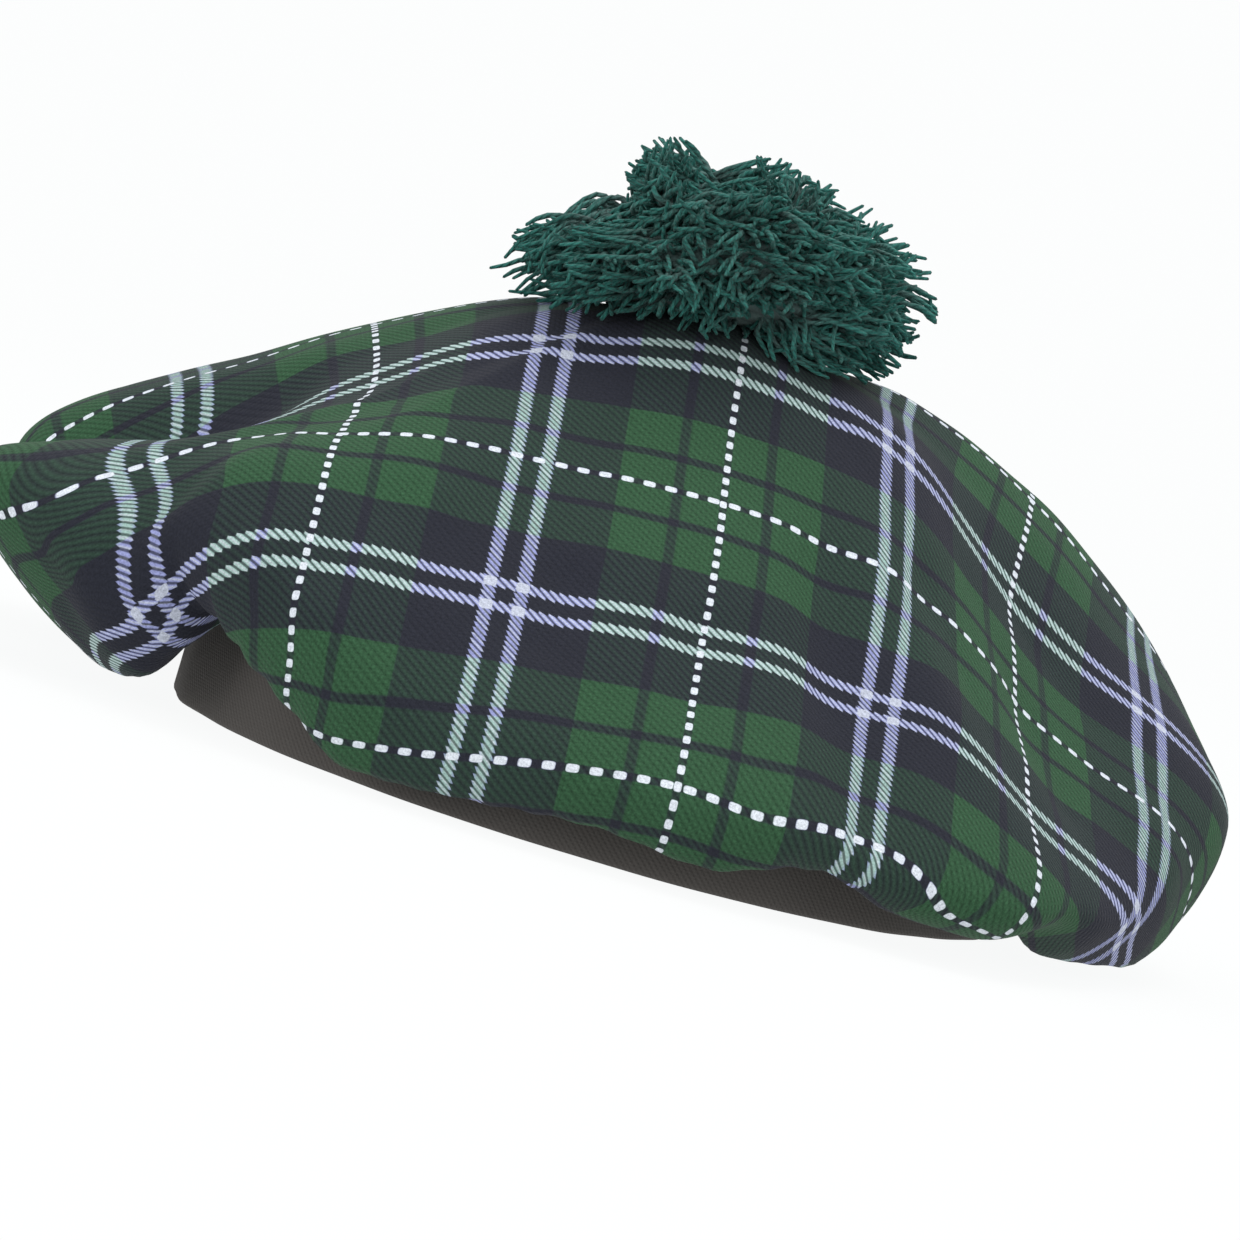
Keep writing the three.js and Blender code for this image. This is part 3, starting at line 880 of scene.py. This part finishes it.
def tartan_material(groups, settings):
    """Green and navy twill with double white stripes and dashed white lines."""
    material, w, shader = new_material("tartan cloth", 0.88, 0.02, 0.15)
    cloth = w.attribute("cloth")
    u, v = w.split(cloth)[:2]
    place = w.node("ShaderNodeTexCoord").outputs["Object"]
    across = w.group(groups["sett"], Place=w.minus(u, SETT_DOWN_START))
    down = w.group(groups["sett"], Place=w.minus(v, SETT_ACROSS_START))
    weave = w.group(groups["twill"], Cloth=cloth)
    fine_weave = w.group(groups["twill"], Cloth=cloth, Across=STRIPE_TWILL,
                         Down=STRIPE_TWILL)
    fibres = w.group(groups["fibres"], Place=place, Uneven=0.15, Fine=1.5)

    def dark_yarn(sett):
        """The dark yarn of one direction, which also lies under the white dashes."""
        beside = w.minus(1.0, w.ramp(sett["Away"], *DARK_BESIDE_DASHES))
        return w.most(sett["Dark"], beside)

    # The yarn that runs round the hat shows more than the yarn that crosses it.
    dark_across, dark_down = dark_yarn(across), dark_yarn(down)
    both = w.times(dark_across, dark_down)
    either = w.most(dark_across, dark_down)
    dark = w.plus(w.times(dark_across, DARK_ACROSS), w.times(dark_down, DARK_DOWN))
    dark = w.minus(dark, w.times(both, DARK_ACROSS + DARK_DOWN - 1))
    slant = w.minus(0.5, weave["Line"])
    one_only = w.minus(either, both)
    dark = w.plus(dark, w.times(w.times(slant, one_only), 0.26))
    ground = w.mix(dark, settings.green, settings.navy)
    # Painted shade: the weave's raised threads are painted lighter and its hollows darker, least
    # where two dark yarns cross.
    depth = w.plus(0.10, w.times(w.minus(1.0, both), 0.50))
    swing = w.times(w.minus(weave["Relief"], 0.56), depth)
    ground = scaled(w, ground, w.times(w.plus(1.0, swing), fibres["Tone"]))

    def floats(stripe, line, low, high, dim, bright):
        """A stripe of slanting floats whose ends stand out at its edges."""
        stands = w.times(w.minus(line, 0.5), 0.7)
        inside = w.ramp(w.plus(stripe, stands), 0.35, 0.65)
        shown = w.times(w.ramp(line, low, high), bright)
        return w.times(inside, w.plus(dim, shown))

    stripe_down = floats(across["Stripe"], fine_weave["Line"], 0.22, 0.65, 0.16, 0.60)
    stripe_across = floats(down["Stripe"], weave["Line"], 0.20, 0.55, 0.16, 0.66)
    stripes = w.most(stripe_down, stripe_across)
    crossing = w.ramp(w.times(across["Stripe"], down["Stripe"]), 0.25, 0.45)
    lines = [
        w.group(groups["dashes"], Along=along, Away=sett["Away"], Period=period,
                Half_Width=half_width, Share=DASH_SHARE)["Dash"]
        for along, sett, (period, half_width) in ((v, across, DASHES_DOWN), (u, down, DASHES_ACROSS))]
    solid = w.most(*lines)
    solid = w.most(w.times(crossing, 0.8), solid)
    under = w.plus(w.times(across["Stripe"], down["Dark"]),
                   w.times(w.minus(1.0, across["Stripe"]), across["Dark"]))
    middle = w.times(w.ramp(weave["Line"], 0.5, 0.95), 0.6)
    seen_through = w.mix(under, settings.mint, settings.lilac)
    tint = w.mix(w.most(solid, middle), seen_through, settings.white)
    pale = w.most(stripes, w.times(solid, 0.96))
    w.join(w.mix(pale, ground, scaled(w, tint, fibres["Tone"])), shader["Base Color"])
    height = w.plus(weave["Relief"], w.times(fibres["Fuzz"], 0.35))
    bumped(w, shader, height, 0.0002, 0.8)
    rough = w.minus(0.90, w.times(weave["Relief"], 0.08))
    w.join(rough, shader["Roughness"])
    return material


def band_material(groups, settings):
    """Plain black cloth with a fine weave, whose raised threads are painted lighter."""
    material, w, shader = new_material("band cloth", 0.92, 0.02, 0.12)
    place = w.node("ShaderNodeTexCoord").outputs["Object"]
    weave = w.group(groups["twill"], Cloth=w.attribute("cloth"), Across=BAND_TWILL,
                    Down=BAND_TWILL)
    fibres = w.group(groups["fibres"], Place=place, Uneven=0.25, Fine=0.35)
    # Painted shade: the weave's raised threads are painted lighter than its hollows.
    factor = w.plus(0.78, w.times(weave["Relief"], 0.34))
    factor = w.times(factor, fibres["Tone"])
    w.join(scaled(w, settings.cloth_color, factor), shader["Base Color"])
    height = w.plus(weave["Relief"], w.times(fibres["Fuzz"], 0.6))
    bumped(w, shader, height, 0.00018, 0.7)
    return material


def yarn_material(groups, settings):
    """Twisted acrylic yarn with painted light: its colour runs from a lighter, greyer root, which
    lifts the shade deep in the pompom, to a more saturated tip.
    """
    material, w, shader = new_material("pompom yarn", 0.85, 0.08, 0.15)
    depth, tone = w.split(w.attribute("strand"))[:2]
    place = w.node("ShaderNodeTexCoord").outputs["Object"]
    fibres = w.group(groups["fibres"], Place=place, Uneven=0.5, Fine=0.9)
    # Painted light: along each strand the colour goes from the lighter root to the tip, to lift the
    # shade deep in the pompom.
    root_to_tip_painted_light = w.mix(w.ramp(depth, 0.15, 0.95), settings.root_painted_lift, settings.tip_color)
    turns = w.split(w.attribute("ply"))
    angle = w.math("ARCTAN2", turns[1], turns[0])
    twist = w.times(turns[2], 2 * math.pi / YARN_TWIST_LENGTH)
    ply = w.size(w.math("SINE", w.plus(angle, twist)))
    factor = w.plus(0.75, w.times(tone, 0.50))
    # Painted shade along the twist: the ply's ridges are painted lighter and its grooves darker.
    factor = w.times(factor, w.plus(0.68, w.times(ply, 0.50)))
    w.join(scaled(w, root_to_tip_painted_light, w.times(factor, fibres["Tone"])), shader["Base Color"])
    height = w.plus(fibres["Fuzz"], w.times(ply, 0.8))
    bumped(w, shader, height, 0.0005, 0.8)
    return material


def floor_material(settings):
    """A studio sweep that is lit from within, so that hardly a shadow shows on it."""
    material, w, shader = new_material("pale paper", 0.95, 0.0, 0.0)
    w.join(settings.floor_color, shader["Base Color"])
    w.join(FLOOR_GLOW, shader["Emission Color"])
    w.join(FLOOR_GLOW_STRENGTH, shader["Emission Strength"])
    # Rays that meet the floor find its light, so it needs no sampling as a lamp.
    material.cycles.emission_sampling = "NONE"
    return material


def shared_groups():
    """The node groups, built once and found again by name."""
    makers = {"twill": ("twill weave", twill_group), "dashes": ("white dashes", dash_group),
              "sett": ("tartan sett", sett_group), "fibres": ("wool fibres", fibre_group)}
    return {key: bpy.data.node_groups.get(name) or make() for key, (name, make) in makers.items()}


# Settings that a user would change

def length(**keys):
    """A setting that is a length in metres."""
    return bpy.props.FloatProperty(unit="LENGTH", precision=4, **keys)


def color(**keys):
    """A setting that is a plain colour."""
    return bpy.props.FloatVectorProperty(subtype="COLOR", size=3, min=0, max=1, **keys)


class CrownSettings(bpy.types.PropertyGroup):
    """Sizes and colours of the crown's cloth."""

    wall: length(
        name="Cloth thickness", description="Thickness of the crown's cloth",
        default=CROWN_WALL * MM, min=0.0005, max=0.003)
    ripple: length(
        name="Ripple", description="Height of the soft swells in the cloth",
        default=0.9 * MM, min=0.0, max=0.004)
    columns: bpy.props.IntProperty(
        name="Columns", description="Points round the crown, an even number",
        default=520, min=120, max=520, step=2)
    rings: bpy.props.IntProperty(
        name="Rings", description="Points from the middle to the seam, an odd number",
        default=151, min=61, max=151, step=2)
    green: color(name="Green", description="Colour of the green yarn", default=(0.022, 0.066, 0.031))
    navy: color(name="Navy", description="Colour of the navy yarn", default=(0.0145, 0.0160, 0.0245))
    mint: color(
        name="White over green", description="Colour of the white stripes where green shows through",
        default=(0.36, 0.53, 0.49))
    lilac: color(
        name="White over navy", description="Colour of the white stripes where navy shows through",
        default=(0.32, 0.35, 0.64))
    white: color(name="White", description="Colour of the white yarn", default=(0.58, 0.62, 0.68))


class BandSettings(bpy.types.PropertyGroup):
    """Sizes and colour of the headband."""

    wall: length(
        name="Band thickness", description="Thickness of the doubled cloth",
        default=BAND_WALL * MM, min=0.001, max=0.003)
    cloth_color: color(
        name="Band colour", description="Colour of the band's cloth",
        default=(0.066, 0.061, 0.057))


class PompomSettings(bpy.types.PropertyGroup):
    """Yarn of the pompom."""

    thickness: length(
        name="Yarn thickness", description="Thickness of one strand",
        default=0.95 * MM, min=0.0005, max=0.003)
    tufts: bpy.props.IntProperty(
        name="Tufts", description="Tufts of yarn in each layer",
        default=230, min=20, max=240)
    strands: bpy.props.IntProperty(
        name="Strands", description="Strands in each tuft",
        default=10, min=2, max=12)
    # Painted light: the inner yarn is lighter and greyer than the outer yarn, to lift the shade deep
    # in the pompom.
    root_painted_lift: color(
        name="Inner yarn", description="Colour of the yarn deep in the pompom",
        default=(0.090, 0.140, 0.134))
    tip_color: color(
        name="Outer yarn", description="Colour of the yarn at its ends",
        default=(0.022, 0.126, 0.107))


class StageSettings(bpy.types.PropertyGroup):
    """The floor and the lights."""

    floor_color: color(
        name="Floor", description="Colour of the lit floor before its own light",
        default=(0.05, 0.05, 0.05))
    sky: bpy.props.FloatProperty(
        name="Sky", description="Strength of the even light from all round",
        default=1.02, min=0.0, max=5.0)
    key_power: bpy.props.FloatProperty(
        name="Key light", description="Power of the large soft light",
        default=8.0, min=0.0, max=500.0, unit="POWER")


# Operators

class TAM_OT_crown(bpy.types.Operator):
    """Builds the crown's tartan cloth in place of its plain solid"""

    bl_idname = "tam.crown"
    bl_label = "Crown"

    def execute(self, context):
        settings = context.scene.tam_crown
        ripple = settings.ripple / MM
        points, normals, flat = crown_cloth(settings.columns, settings.rings, ripple)
        material = tartan_material(shared_groups(), settings)
        piece = cloth_shell(
            "crown_cloth", points, normals, flat, settings.wall / MM, material)
        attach(piece, "root")
        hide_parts("crown")
        return {"FINISHED"}


class TAM_OT_headband(bpy.types.Operator):
    """Builds the black headband in place of its plain solid"""

    bl_idname = "tam.headband"
    bl_label = "Headband"

    def execute(self, context):
        settings = context.scene.tam_band
        material = band_material(shared_groups(), settings)
        piece = headband_mesh("headband_cloth", BAND_COLUMNS, settings.wall / MM, material)
        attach(piece, "root")
        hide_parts("headband")
        return {"FINISHED"}


class TAM_OT_pompom(bpy.types.Operator):
    """Builds the yarn pompom in place of its plain solid"""

    bl_idname = "tam.pompom"
    bl_label = "Pompom"

    def execute(self, context):
        settings = context.scene.tam_pompom
        material = yarn_material(shared_groups(), settings)
        thick = settings.thickness / MM
        tufts, strands = settings.tufts, settings.strands
        core = pompom_core("pompom_core", material)
        outer, inner, short = (
            yarn_mesh(name, tufts, strands, thick, start, reach, YARN_SEED + k, material)
            for k, (name, start, reach) in enumerate((
                ("pompom_yarn", 0.85, 1.0), ("pompom_yarn_inner", 0.75, 0.94),
                ("pompom_yarn_short", 0.65, 0.84))))
        for piece in (core, outer, inner, short):
            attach(piece, "root")
        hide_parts("pompom")
        return {"FINISHED"}


class TAM_OT_stage(bpy.types.Operator):
    """Builds the pale floor, the soft lights and the camera"""

    bl_idname = "tam.stage"
    bl_label = "Stage"

    def execute(self, context):
        settings = context.scene.tam_stage
        build_floor(settings)
        build_lights(settings)
        build_camera()
        return {"FINISHED"}


def build_floor(settings):
    """A round studio sweep: flat under the hat and curved up far behind it."""
    profile = [(0.0, 0.0), (0.6, 0.0), (FLOOR_RADIUS, 0.0)]
    profile += [(FLOOR_RADIUS + FLOOR_BEND * math.sin(a), FLOOR_BEND * (1 - math.cos(a)))
                for a in np.linspace(0.1, math.pi / 2, 14)]
    sides = FLOOR_SIDES
    places = [(0.0, 0.0, 0.0)]
    faces = []
    for radius, height in profile[1:]:
        for k in range(sides):
            a = 2 * math.pi * k / sides
            places.append((radius * math.cos(a), radius * math.sin(a), height))
    for k in range(sides):
        n = (k + 1) % sides
        faces.append((0, 1 + k, 1 + n))
        for r in range(len(profile) - 2):
            a, b = 1 + r * sides, 1 + (r + 1) * sides
            faces.append((a + k, b + k, b + n, a + n))
    mesh = bpy.data.meshes.new("floor")
    mesh.from_pydata(places, [], faces)
    mesh.polygons.foreach_set("use_smooth", [True] * len(faces))
    mesh.materials.append(floor_material(settings))
    floor = bpy.data.objects.new("floor", mesh)
    bpy.context.scene.collection.objects.link(floor)


def build_lights(settings):
    """An even sky with one large soft light above and weak ones in front."""
    world = bpy.data.worlds.new("studio")
    world.use_nodes = True
    background = world.node_tree.nodes["Background"]
    background.inputs["Color"].default_value = (1.0, 1.0, 1.0, 1.0)
    background.inputs["Strength"].default_value = settings.sky
    scene = bpy.context.scene
    scene.world = world
    scene.view_settings.view_transform = "Standard"
    for name, place, size, share in LIGHTS:
        lamp = bpy.data.lights.new(name, "AREA")
        lamp.size = size
        lamp.energy = settings.key_power * share
        light = bpy.data.objects.new(name, lamp)
        light.location = place
        light.rotation_mode = "QUATERNION"
        light.rotation_quaternion = (LIGHT_TARGET - light.location).to_track_quat("-Z", "Y")
        scene.collection.objects.link(light)


def build_camera():
    """The camera at the photograph's angle, turned a little round its own axis."""
    e = math.radians(CAMERA_ELEVATION)
    eye = Vector((0, -math.cos(e), math.sin(e))) * CAMERA_DISTANCE * MM + RIM_MIDDLE
    target = Vector(CAMERA_TARGET) * MM + RIM_MIDDLE
    look = (target - eye).to_track_quat("-Z", "Y").to_matrix()
    roll = Matrix.Rotation(math.radians(CAMERA_ROLL), 3, "Z")
    data = bpy.data.cameras.new("camera")
    data.lens = CAMERA_LENS
    data.sensor_width = CAMERA_SENSOR
    camera = bpy.data.objects.new("camera", data)
    camera.matrix_world = Matrix.Translation(eye) @ (look @ roll).to_4x4()
    bpy.context.scene.collection.objects.link(camera)
    bpy.context.scene.camera = camera


class TAM_PT_panel(bpy.types.Panel):
    """The hat's settings and one button for each piece"""

    bl_idname = "TAM_PT_panel"
    bl_label = "Tam o' shanter"
    bl_space_type = "VIEW_3D"
    bl_region_type = "UI"
    bl_category = "Tam"

    def draw(self, context):
        scene = context.scene
        for settings, operator in (
            (scene.tam_crown, "tam.crown"), (scene.tam_band, "tam.headband"),
            (scene.tam_pompom, "tam.pompom"), (scene.tam_stage, "tam.stage"),
        ):
            box = self.layout.box()
            for key in settings.__annotations__:
                box.prop(settings, key)
            box.operator(operator)


SETTINGS = {
    "tam_crown": CrownSettings, "tam_band": BandSettings,
    "tam_pompom": PompomSettings, "tam_stage": StageSettings,
}
CLASSES = (
    *SETTINGS.values(), TAM_OT_crown, TAM_OT_headband, TAM_OT_pompom, TAM_OT_stage, TAM_PT_panel,
)


def register():
    """Registers the classes and hangs the settings on the scene."""
    for item in CLASSES:
        bpy.utils.register_class(item)
    for key, group in SETTINGS.items():
        setattr(bpy.types.Scene, key, bpy.props.PointerProperty(type=group))


def unregister():
    """Takes the settings and the classes away again."""
    for key in SETTINGS:
        delattr(bpy.types.Scene, key)
    for item in reversed(CLASSES):
        bpy.utils.unregister_class(item)


def main():
    """Builds the whole scene in order."""
    register()
    bpy.ops.tam.headband()
    bpy.ops.tam.crown()
    bpy.ops.tam.pompom()
    bpy.ops.tam.stage()
    bpy.context.view_layer.update()


if __name__ == "__main__":
    main()
